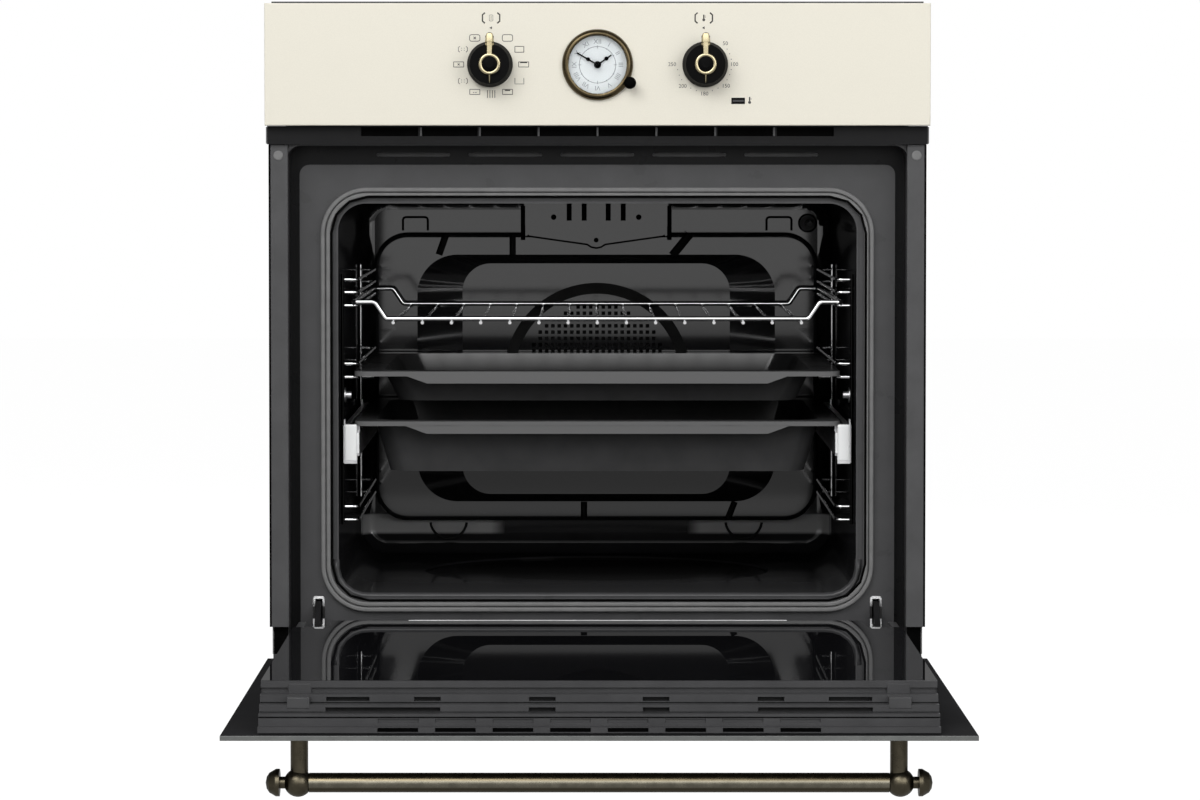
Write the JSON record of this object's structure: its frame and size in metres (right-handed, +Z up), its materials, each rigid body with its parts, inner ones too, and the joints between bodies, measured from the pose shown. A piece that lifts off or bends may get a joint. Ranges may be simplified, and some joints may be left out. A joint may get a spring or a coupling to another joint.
{
  "type": "built-in oven",
  "caption": "Built-in electric oven with its door open: panel with two knobs and a clock, wire racks, shelf and trays, fan cover, glass door with bar handle.",
  "frame": {"origin": "middle of the front edge of the base plate's underside, in the cabinet's front plane", "axes": "+X to the right seen from the front, +Y to the back of the cabinet, +Z up"},
  "size_m": [0.595, 1.039, 0.6449],
  "materials": {
    "galvanised": "spangled satin",
    "black_enamel": "glossy enamel",
    "trim_enamel": "satin enamel",
    "zinc": "zinc plated",
    "ivory_enamel": "satin",
    "black_plastic": "matt",
    "knob_black": "semi-gloss",
    "aged_brass": "aged",
    "dial_white": "matt",
    "clear_glass": "clear",
    "black_glass": "gloss",
    "seal_rubber": "matt",
    "wool": "mineral wool",
    "element_steel": "dark oxidised",
    "chrome": "polished",
    "steel": "brushed",
    "aluminium": "satin",
    "handle_bronze": "antique bronze"
  },
  "bodies": {
    "oven_body": {"base_plate": "galvanised", "side_panels": "galvanised", "back_panel": "galvanised", "top_cover": "galvanised", "terminal_box": "black_plastic", "front_frame": "black_enamel", "frame_trims": "trim_enamel", "cabinet_bushes": "zinc", "air_outlet": "trim_enamel", "air_duct": "galvanised", "cooling_blower": "galvanised", "control_panel": "ivory_enamel", "panel_carrier": "black_plastic", "function_switch": "black_plastic", "thermostat": "steel", "pilot_lamp": "black_plastic", "clock_bezel": "aged_brass", "clock_glass": "clear_glass", "clock_dial": "dial_white", "clock_movement": "black_plastic", "muffle": "black_enamel", "door_gasket": "seal_rubber", "insulation": "wool", "grill_element": "element_steel", "base_element": "element_steel", "ring_element": "element_steel", "oven_lamp": "clear_glass", "temperature_sensor": "steel", "fan_cover": "black_enamel", "grill_bracket": "black_enamel", "fan_motor": "galvanised", "rack_left": "chrome", "rack_right": "chrome", "rack_fasteners": "steel", "runner_channels": "steel", "hinge_receivers": "zinc", "hinge_arms": "zinc"},
    "door": {"outer_glass": "black_glass", "inner_glass": "black_glass", "middle_glass": "clear_glass", "door_profiles": "black_enamel", "door_top_trim": "trim_enamel", "glass_ledge": "steel", "hinge_bodies": "zinc", "handle_bar": "handle_bronze", "handle_posts": "handle_bronze"},
    "blower_rotor": {"blower_wheel": "aluminium"},
    "fan_rotor": {"convection_fan": "steel"},
    "function_control": {"function_knob": "knob_black", "function_pointer": "aged_brass"},
    "temperature_control": {"temperature_knob": "knob_black", "temperature_pointer": "aged_brass"},
    "clock_setter": {"clock_knob": "knob_black"},
    "minute": {"minute_hand": "knob_black"},
    "hour": {"hour_hand": "knob_black"},
    "shelf": {"wire_shelf": "chrome"},
    "shallow": {"shallow_tray": "black_enamel"},
    "runner_mid": {"runner_middles": "steel"},
    "deep": {"runner_slides": "steel", "deep_tray": "black_enamel"}
  },
  "joints": [
    {"name": "door_hinge", "type": "hinge", "parent": "oven_body", "child": "door", "pos_m": [0, -0.00515, 0.01865], "axis": [1, 0, 0], "range_deg": [-90, 0]},
    {"name": "function_turn", "type": "hinge", "parent": "oven_body", "child": "function_control", "pos_m": [-0.096, -0.03, 0.5403], "axis": [0, 1, 0], "continuous": true},
    {"name": "temperature_turn", "type": "hinge", "parent": "oven_body", "child": "temperature_control", "pos_m": [0.096, -0.03, 0.5403], "axis": [0, 1, 0], "range_deg": [0, 280]},
    {"name": "clock_set_turn", "type": "hinge", "parent": "oven_body", "child": "clock_setter", "pos_m": [0.0289, -0.033, 0.5237], "axis": [0, 1, 0], "continuous": true},
    {"name": "minute_turn", "type": "hinge", "parent": "oven_body", "child": "minute", "pos_m": [0, -0.0229, 0.54], "axis": [0, 1, 0], "continuous": true},
    {"name": "hour_turn", "type": "hinge", "parent": "oven_body", "child": "hour", "pos_m": [0, -0.0217, 0.54], "axis": [0, 1, 0], "continuous": true},
    {"name": "fan_spin", "type": "hinge", "parent": "oven_body", "child": "fan_rotor", "pos_m": [0.0008, 0.402, 0.2375], "axis": [0, 1, 0], "continuous": true},
    {"name": "blower_spin", "type": "hinge", "parent": "oven_body", "child": "blower_rotor", "pos_m": [0, 0.346, 0.516], "axis": [1, 0, 0], "continuous": true},
    {"name": "shelf_slide", "type": "slide", "parent": "oven_body", "child": "shelf", "axis": [0, -1, 0], "range_m": [0, 0.3]},
    {"name": "shallow_tray_slide", "type": "slide", "parent": "oven_body", "child": "shallow", "axis": [0, -1, 0], "range_m": [0, 0.3]},
    {"name": "deep_tray_slide", "type": "slide", "parent": "oven_body", "child": "deep", "axis": [0, -1, 0], "range_m": [0, 0.3]},
    {"name": "runner_middle_slide", "type": "slide", "parent": "oven_body", "child": "runner_mid", "axis": [0, -1, 0], "range_m": [0, 0.15]}
  ],
  "couplings": [
    {"joint": "minute_turn", "follows": "clock_set_turn", "ratio": -0.33333},
    {"joint": "hour_turn", "follows": "clock_set_turn", "ratio": -0.027778},
    {"joint": "runner_middle_slide", "follows": "deep_tray_slide", "ratio": 0.5}
  ]
}
